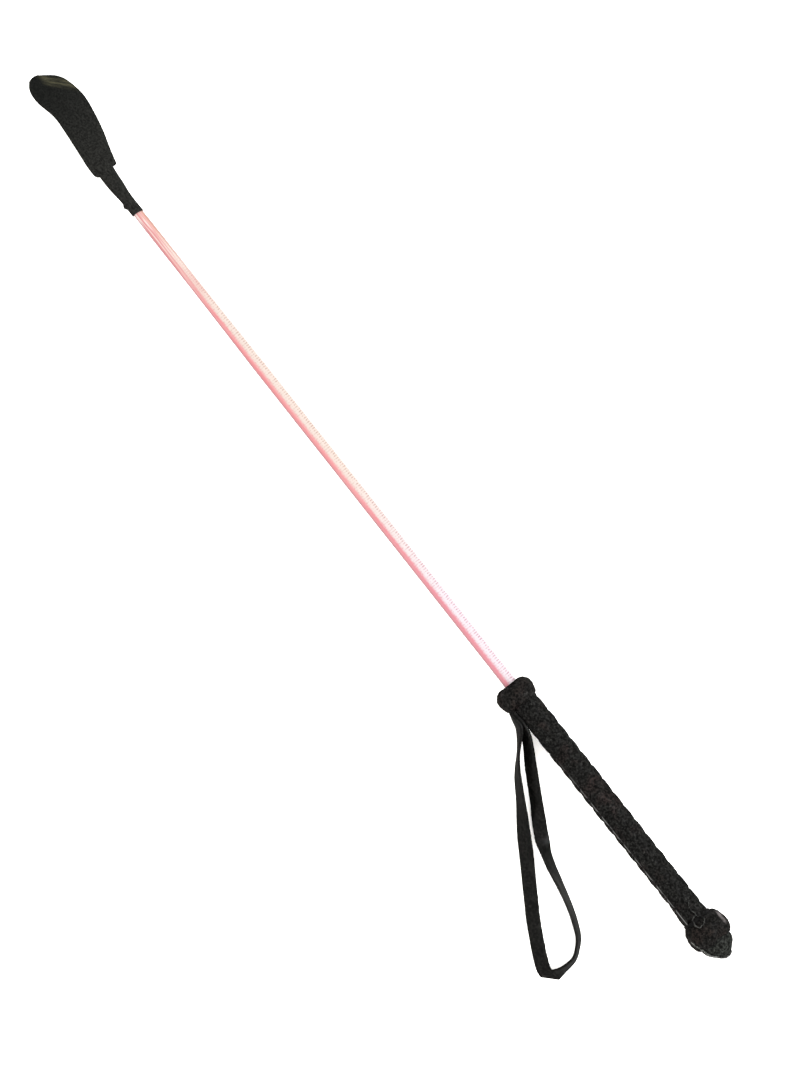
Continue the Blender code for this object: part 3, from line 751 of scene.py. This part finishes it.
def plaited_grip():
    """Eight flat strands, four each way, each one over and under the ones it meets."""
    section = rounded_section(STRAND_WIDTH, STRAND_THICKNESS, 0.25 * MM, 0.5, 14)
    crossing = PLAIT_LEAD / (2 * STRANDS_EACH_WAY)
    steps = int((PLAIT_END - PLAIT_START) / crossing * STEPS_PER_CROSSING)
    for direction, side in ((1, "right"), (-1, "left")):
        for number in range(STRANDS_EACH_WAY):
            centreline = []
            for i in range(steps + 1):
                distance = PLAIT_START + (PLAIT_END - PLAIT_START) * i / steps
                angle = direction * math.tau * distance / PLAIT_LEAD + math.tau * number / STRANDS_EACH_WAY
                sway = direction * STRAND_SWAY * steep(math.cos(math.pi * distance / crossing))
                flare = sum(height * math.exp(-((distance - middle) / reach) ** 2)
                            for height, middle, reach in FLARES)
                flare *= max(0.0, math.cos(angle))
                slack = STRAND_SLACK * noise.noise(Vector((distance * 60, number * 3.7, direction * 5.1)))
                centreline.append((distance, angle, PLAIT_RADIUS + sway + flare + slack))
            wound(f"plait_{side}_{number + 1}", centreline, section, (f"grip_strand_{side}_{number + 1}",))


# ---------------------------------------- knots

KNOT_LEADS = 3
KNOT_BIGHTS = 4
KNOT_STATIONS = 420


class Bead:
    """The rounded shape that a knot is laid on: a profile followed by its own length from the middle.

    It rises from a low radius at each end to the outer one, and a higher power makes it squarer."""

    def __init__(self, start, end, outer, low_start, low_end, power):
        turns = np.linspace(math.pi, 0, 161)
        middle, half = (start + end) / 2, (end - start) / 2
        x = middle + half * np.sign(np.cos(turns)) * np.abs(np.cos(turns)) ** (2 / power)
        share = np.abs(np.sin(turns)) ** (2 / power)
        low = np.where(turns > math.pi / 2, low_start, low_end)
        r = low + (outer - low) * share
        travelled = np.concatenate([[0], np.cumsum(np.hypot(np.diff(x), np.diff(r)))])
        self.x, self.r = x, r
        self.travelled = travelled - np.interp(middle, x, travelled)
        self.reach = min(-self.travelled[0], self.travelled[-1])

    def point(self, travel, up):
        """(distance, radius) at this length from the middle, raised off the surface by up."""
        step = 0.3 * MM
        travel = min(max(travel, self.travelled[0]), self.travelled[-1])
        x, r = np.interp(travel, self.travelled, self.x), np.interp(travel, self.travelled, self.r)
        ahead = min(travel + step, self.travelled[-1])
        back = max(travel - step, self.travelled[0])
        dx = np.interp(ahead, self.travelled, self.x) - np.interp(back, self.travelled, self.x)
        dr = np.interp(ahead, self.travelled, self.r) - np.interp(back, self.travelled, self.r)
        size = math.hypot(dx, dr)
        return x - up * dr / size, r + up * dx / size


def lace_knot(name, bead, width, thickness, sway, replaces, offset, turn):
    """A Turk's head of one wide lace, laid over the bead: three leads round it and four bights each side."""
    section = rounded_section(width, thickness, 0.45 * MM, 0.5, 18)
    swing = bead.reach - width * 0.44
    mean = bead.r.max()
    stations = []
    for i in range(KNOT_STATIONS):
        angle = math.tau * KNOT_LEADS * i / KNOT_STATIONS
        phase = angle * KNOT_BIGHTS / KNOT_LEADS
        stations.append((swing * math.cos(phase), angle + turn, sway * steep(math.sin(2 * phase), 1.4)))
    rings, middles = [], []
    for i, (travel, angle, lift) in enumerate(stations):
        before, after = stations[i - 1], stations[(i + 1) % KNOT_STATIONS]
        step = (after[1] - before[1] + math.pi) % math.tau - math.pi
        run = Vector((after[0] - before[0], step * mean)).normalized()
        ring = []
        for across, up in section:
            distance, radius = bead.point(travel - run.y * across, up + lift)
            a = angle + run.x * across / mean
            middle = at(distance, offset=offset)
            ring.append(uneven(at(distance, a, radius, offset), middle, UNEVENNESS, 190))
        rings.append(ring)
        distance, radius = bead.point(travel, lift)
        middles.append(at(distance, angle, radius, offset))
    mesh = mesh_from_rings(name, rings, True, lengths_along(middles, True))
    add_piece(name, mesh, KNOT_LEATHER, replaces=replaces)


UPPER_BEAD = Bead(188.7 * MM, 201.6 * MM, 10.55 * MM, 6.4 * MM, 4.2 * MM, 2.0)
POMMEL_BEAD = Bead(12.3 * MM, 27.9 * MM, 11.5 * MM, 9.2 * MM, 6.4 * MM, 2.1)
# How far each knot sits to the side of the axis
UPPER_OFFSET = 1.45 * MM
POMMEL_OFFSET = -0.65 * MM
# Each lace's width, thickness and rise and fall where it crosses itself
UPPER_LACE = (8.2 * MM, 1.4 * MM, 0.6 * MM)
POMMEL_LACE = (9.4 * MM, 1.6 * MM, 0.65 * MM)
FILLING_DEPTH = 1.4 * MM
FILLING_BORES = (4.5 * MM, 4.4 * MM)
FILLING_STATIONS = 24
FILLING_STEPS = 64


def upper_knot():
    """The knot's lace, and the leather filling that shows in the gaps between its turns."""
    lace_knot("upper_knot", UPPER_BEAD, *UPPER_LACE, ("upper_knot_lace",), UPPER_OFFSET,
              TOP - math.pi / KNOT_BIGHTS)
    profile = [UPPER_BEAD.point(travel, -FILLING_DEPTH)
               for travel in np.linspace(-UPPER_BEAD.reach, UPPER_BEAD.reach, FILLING_STATIONS)]
    profile = [(profile[0][0], FILLING_BORES[0]), *profile, (profile[-1][0], FILLING_BORES[1])]
    rings = [[at(distance, math.tau * i / FILLING_STEPS, radius, UPPER_OFFSET) for i in range(FILLING_STEPS)]
             for distance, radius in profile]
    mesh = mesh_from_rings("upper_knot_filling", rings, False, lengths_along([ring[0] for ring in rings]))
    add_piece("upper_knot_filling", mesh, KNOT_LEATHER, replaces=("upper_knot_core",))


def pommel():
    """The thicker knot round the butt, and its lace's end."""
    lace_knot("pommel_knot", POMMEL_BEAD, *POMMEL_LACE, ("pommel_knot_lace",), POMMEL_OFFSET, 0.0)
    curled_end()


# The lace's end: (distance from the butt, sideways, height above the axis), in millimetres
LACE_TAIL = ((40.0, -2.6, 8.3), (38.2, -1.0, 8.6), (35.2, -0.3, 8.7), (32.8, -1.2, 8.9))
CURL_CENTRE = (27.6 * MM, 10.5 * MM)
# In millimetres and degrees
CURL_RADIUS = 3.4
CURL_START = -15
CURL_TURN = 350
CURL_STATIONS = 60
CURL_STEPS = 10


def curled_end():
    """The lace's end: it runs along the top of the grip, then curls into a ring that leans on the knot."""
    centre = at(CURL_CENTRE[0], TOP, CURL_CENTRE[1])
    path = [at(distance * MM, TOP, height * MM, side * MM)
            for distance, side, height in spline(LACE_TAIL, 18)]
    for i in range(CURL_STATIONS):
        share = i / (CURL_STATIONS - 1)
        turn = math.radians(CURL_START + CURL_TURN * share)
        wobble = 0.25 * math.sin(3 * turn + 0.6) + 0.16 * math.sin(7 * turn + 2.0)
        radius = (CURL_RADIUS - 0.3 * share + wobble) * MM
        out = AXIS * math.cos(turn) + SIDEWAYS * math.sin(turn)
        path.append(centre + out * radius + UPWARD * (0.3 * share * MM - 0.6 * radius * math.cos(turn)))
    rings = []
    for i, middle in enumerate(path):
        run = heading(path, i)
        side = run.cross(UPWARD).normalized()
        thick = min(1.0, 0.35 + i / 30) * (0.8 + 0.18 * math.sin(0.7 * i)) * MM
        ring = []
        for k in range(CURL_STEPS):
            around = math.tau * k / CURL_STEPS
            ring.append(middle + (side * 0.5 * math.cos(around) + UPWARD * 0.65 * math.sin(around)) * thick)
        rings.append(ring)
    mesh = mesh_from_rings("curled_end", rings, False, lengths_along(path))
    add_piece("curled_end", mesh, EDGE_LEATHER)


# ---------------------------------------- butt cap

# (distance from the butt, radius, sideways offset), in millimetres
CAP_ROWS = ((0.0, 1.5, -0.5), (0.3, 2.1, -0.55), (0.9, 2.8, -0.6), (2.2, 4.1, -0.7), (4.2, 6.0, -0.75),
            (6.5, 8.35, -0.7), (9.0, 9.65, -0.5), (11.5, 10.1, -0.2), (13.6, 10.1, 0.0), (16.0, 9.9, 0.0))
CAP_FACE = ((0.0, 0.02, -0.5), (0.0, 0.8, -0.5))
CAP_INSIDE = ((16.0, 8.6, 0.0), (9.0, 7.6, 0.0), (4.0, 4.0, 0.0), (1.6, 1.0, 0.0), (1.5, 0.02, 0.0))
CAP_STEPS = 96
CAP_FOLDS = 0.4 * MM
# The turned edge, from the knot round to the butt: (distance from the butt, radius, angle in degrees)
EDGE_PATH = ((20.5, 12.6, 27), (17.5, 12.35, 28), (14.6, 11.2, 30), (12.0, 10.75, 32), (9.0, 10.1, 33),
             (6.5, 8.75, 34), (4.2, 6.45, 37), (2.2, 4.5, 42), (1.1, 3.2, 60), (0.6, 2.6, 90), (0.9, 3.0, 140),
             (1.6, 3.75, 165))
EDGE_OFFSET = -0.5 * MM
# The turned edge faces away from the axis's point at this distance
EDGE_MIDDLE = 9 * MM


def cap_ring(row):
    """One turn round the cap, with its soft folds."""
    distance, radius, offset = (value * MM for value in row)
    points = [at(distance, math.tau * i / CAP_STEPS, radius, offset) for i in range(CAP_STEPS)]
    return [uneven(point, at(distance, offset=offset), CAP_FOLDS, 170) for point in points]


def butt_cap():
    """The domed leather cap, and the turned edge that runs along its loop side."""
    rings = [cap_ring(row) for row in (*CAP_FACE, *spline(CAP_ROWS, 48), *CAP_INSIDE)]
    mesh = mesh_from_rings("butt_cap_leather", rings, False, lengths_along([ring[0] for ring in rings]))
    add_piece("butt_cap_leather", mesh, CAP_LEATHER, replaces=("butt_cap",))
    section = rounded_section(1.3 * MM, 0.8 * MM, 0.15 * MM, 0.6, 12)
    path = [at(distance * MM, math.radians(degrees), radius * MM, EDGE_OFFSET)
            for distance, radius, degrees in spline(EDGE_PATH, 90)]
    rings = []
    for i, point in enumerate(path):
        run = heading(path, i)
        out = (point - at(EDGE_MIDDLE)).normalized()
        out = (out - run * out.dot(run)).normalized()
        across = run.cross(out)
        rings.append([point + across * a + out * b for a, b in section])
    mesh = mesh_from_rings("butt_cap_edge", rings, False, lengths_along(path))
    add_piece("butt_cap_edge", mesh, CAP_EDGE_LEATHER)


# ---------------------------------------- shaft

# (distance from the butt, radius), in millimetres
COVER_RADII = ((197.0, 4.1), (235.0, 4.1), (435.0, 3.85), (464.0, 3.55), (493.0, 3.3), (540.0, 3.2),
               (549.0, 3.05), (556.0, 3.05))
RIB_PITCH = 0.8 * MM
RIB_HEIGHT = 0.05 * MM
RIB_STEPS = 3
RIB_STAGGER = 0.9
COVER_STEPS = 40
COVER_WALL = 0.4 * MM
COVER_INSIDE_STATIONS = 12


def thread_cover():
    """The woven sleeve: fine ribs of thread round the shaft, staggered from one long thread to the next."""
    start, end = COVER_RADII[0][0] * MM, COVER_RADII[-1][0] * MM
    count = int((end - start) / RIB_PITCH * RIB_STEPS)
    distances, radii = (np.array(column) * MM for column in zip(*COVER_RADII))
    rings = []
    for i in range(count + 1):
        distance = start + (end - start) * i / count
        base = float(np.interp(distance, distances, radii)) - RIB_HEIGHT
        ring = []
        for k in range(COVER_STEPS):
            rib = RIB_HEIGHT * math.cos(math.tau * distance / RIB_PITCH + (-1) ** k * RIB_STAGGER)
            ring.append(at(distance, math.tau * k / COVER_STEPS, base + rib))
        rings.append(ring)
    for distance in np.linspace(end, start, COVER_INSIDE_STATIONS):
        radius = float(np.interp(distance, distances, radii)) - COVER_WALL
        rings.append([at(distance, math.tau * k / COVER_STEPS, radius) for k in range(COVER_STEPS)])
    mesh = mesh_from_rings("thread_cover", rings, True, lengths_along([ring[0] for ring in rings], True))
    add_piece("thread_cover", mesh, PINK_THREAD, replaces=("shaft_thread_cover",), sharp=80)


# ---------------------------------------- keeper

# Neck: (distance from the butt, half width, half height, sideways shift), in millimetres
NECK_ROWS = ((549.1, 3.45, 3.6, 0.1), (549.6, 3.6, 3.75, 0.1), (556.0, 3.55, 3.9, 0.2),
             (562.0, 3.75, 3.95, 0.2), (568.5, 4.45, 4.7, 0.1), (574.0, 4.75, 4.4, -0.05),
             (578.0, 4.95, 3.6, -0.3), (582.0, 5.2, 2.6, -0.7), (586.5, 5.3, 1.95, -1.0))
NECK_WALL = 0.5 * MM
NECK_STEPS = 48
# The neck's first edge is cut at a slant, which fades out over NECK_SLANT_END millimetres
NECK_SLANT = 0.5 * MM
NECK_SLANT_END = 4
NECK_UNEVENNESS = 0.18 * MM
# The tuft: (distance from the butt, how far out it reaches, half height), in millimetres
TUFT_ROWS = ((553.6, 3.3, 0.2), (554.8, 4.0, 0.5), (556.2, 4.75, 0.55), (557.3, 4.45, 0.5), (558.6, 3.95, 0.4),
             (560.4, 3.45, 0.2))
TUFT_ROOT = 3.0
TUFT_HEIGHT = 0.4 * MM
TUFT_STEPS = 12
# Flap: (distance from the butt, -Y edge, +Y edge, height of the middle, arch), in millimetres. The rows from
# 588.5 on are the CAD's. The first three replace the CAD's first one, and narrow the flap's root.
KEEPER_ROWS = (
    (579.4, -7.8, 4.7, 8.95, 0.1), (580.2, -8.3, 5.8, 8.93, 0.15), (582.2, -8.8, 6.65, 8.85, 0.25),
    (588.5, -10.5, 6.6, 8.3, 0.7), (600.0, -14.0, 5.4, 7.3, 1.5), (611.6, -16.5, 4.3, 6.2, 2.2),
    (623.2, -17.9, 3.7, 5.0, 2.4), (634.7, -16.1, 5.9, 3.6, 1.9), (641.0, -13.1, 6.1, 2.5, 1.0),
    (645.4, -8.3, 4.9, 1.95, 0.4), (648.2, -4.4, 2.7, 1.7, 0.1),
)
KEEPER_COLUMNS = 21
FOLD_STEPS = 8
# In millimetres
LEAF_THICKNESS = 1.15
LEAF_GAP = 0.35
LEAF_WAVES = 0.12


def neck():
    """The leather sleeve round the rod's tip. It flattens on to the keeper and bends with it."""
    rows = spline(NECK_ROWS, 90)

    def ring(row, less):
        distance, width, height, shift = row * MM
        points = []
        for k in range(NECK_STEPS):
            turn = math.tau * k / NECK_STEPS
            fading = max(0.0, 1 - (row[0] - NECK_ROWS[0][0]) / NECK_SLANT_END)
            slant = NECK_SLANT * math.sin(turn + 0.9) * fading
            point = (at(distance + slant) + SIDEWAYS * ((width - less) * math.cos(turn) + shift)
                     + UPWARD * (height - less) * math.sin(turn))
            points.append(point + UPWARD * NECK_UNEVENNESS * noise.noise(point * 240))
        return points

    rings = [ring(row, 0.0) for row in rows] + [ring(row, NECK_WALL) for row in rows[::-6]]
    mesh = mesh_from_rings("neck_sleeve", rings, True, lengths_along([line[0] for line in rings], True))
    sleeve = add_piece("neck_sleeve", mesh, KEEPER_SUEDE, body=None,
                       replaces=("keeper_neck_sleeve",))
    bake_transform(sleeve)
    tuft()


def tuft():
    """The corner of the sleeve's seam that sticks out on the loop's side."""
    rings, middles = [], []
    for distance, edge, height in spline(TUFT_ROWS, 22):
        middle = at(distance * MM) + SIDEWAYS * TUFT_ROOT * MM + UPWARD * TUFT_HEIGHT
        reach = (edge - TUFT_ROOT) * MM
        ring = []
        for k in range(TUFT_STEPS):
            turn = math.tau * k / TUFT_STEPS
            point = (middle + SIDEWAYS * reach * (0.5 + 0.5 * math.cos(turn))
                     + UPWARD * height * MM * math.sin(turn))
            ring.append(point + SIDEWAYS * 0.15 * MM * noise.noise(point * 900))
        rings.append(ring)
        middles.append(middle)
    mesh = mesh_from_rings("neck_tuft", rings, False, lengths_along(middles))
    add_piece("neck_tuft", mesh, KEEPER_SUEDE)


def keeper_flap():
    """One strip of leather folded at the tip, with an upper and a lower leaf."""
    rows = spline(KEEPER_ROWS, 64)
    shares = np.linspace(-1, 1, KEEPER_COLUMNS)
    half_gap, outside = LEAF_GAP / 2, LEAF_GAP / 2 + LEAF_THICKNESS

    def level(row, share, height, ahead=0.0):
        """The point of a row at this share of its width, raised off the middle layer by height."""
        middle, half = (row[1] + row[2]) / 2, (row[2] - row[1]) / 2
        soft = LEAF_WAVES * noise.noise(Vector((row[0] * 0.12, share * 2.2, 3.1)))
        high = row[3] - row[4] * share * share + height + soft
        return in_place(row[0] + ahead, middle + share * half, high)

    def strip(step):
        """The strip's rows at this height from its middle layer, along the top, round the fold and back."""
        lines = [[level(row, s, step) for s in shares] for row in rows]
        for k in range(1, FOLD_STEPS):
            turn = math.pi * k / FOLD_STEPS
            lines.append([level(rows[-1], s, step * math.cos(turn), step * math.sin(turn) * (1 - 0.7 * s * s))
                          for s in shares])
        lines += [[level(row, s, -step) for s in shares] for row in rows[::-1]]
        return lines

    rings = [[*a, *reversed(b)] for a, b in zip(strip(outside), strip(half_gap))]
    middles = [ring[KEEPER_COLUMNS // 2] for ring in rings]
    mesh = mesh_from_rings("keeper_leaves", rings, False, lengths_along(middles))
    flap = add_piece("keeper_leaves", mesh, KEEPER_SUEDE, body=None,
                     replaces=("keeper_flap",))
    bevel = flap.modifiers.new("soft_edges", "BEVEL")
    bevel.width = 0.28 * MM
    bevel.segments = 3
    bevel.limit_method = "ANGLE"
    bevel.angle_limit = math.radians(40)
    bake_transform(flap)


look_down()
set_stage()
wrist_loop()
plaited_grip()
upper_knot()
pommel()
butt_cap()
thread_cover()
neck()
keeper_flap()
finish_inner_nodes()
